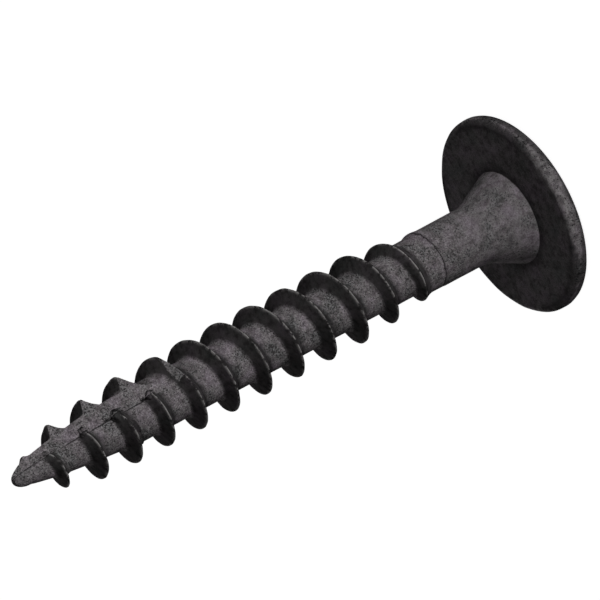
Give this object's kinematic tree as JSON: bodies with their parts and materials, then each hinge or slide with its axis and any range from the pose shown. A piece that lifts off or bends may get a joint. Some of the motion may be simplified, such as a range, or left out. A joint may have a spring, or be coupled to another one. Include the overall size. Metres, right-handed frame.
{
  "type": "washer-head wood screw",
  "caption": "Dark steel wood screw with a wide flat washer head, conical neck, coarse right-hand thread and a notched cutting point; driven by a six-lobe recess.",
  "frame": {"origin": "centre of the head's flat top face, which the screw stands on", "axes": "+Z along the screw's axis from the head to the point; the curved wall of the point's notch faces -Y, turned 18 degrees towards +X"},
  "size_m": [0.0122, 0.0122, 0.0381],
  "materials": {
    "black_steel": "matt black phosphate coating with fine grain, dark pits and lightly rubbed crests"
  },
  "bodies": {
    "root": {"screw": "black_steel"}
  },
  "joints": []
}
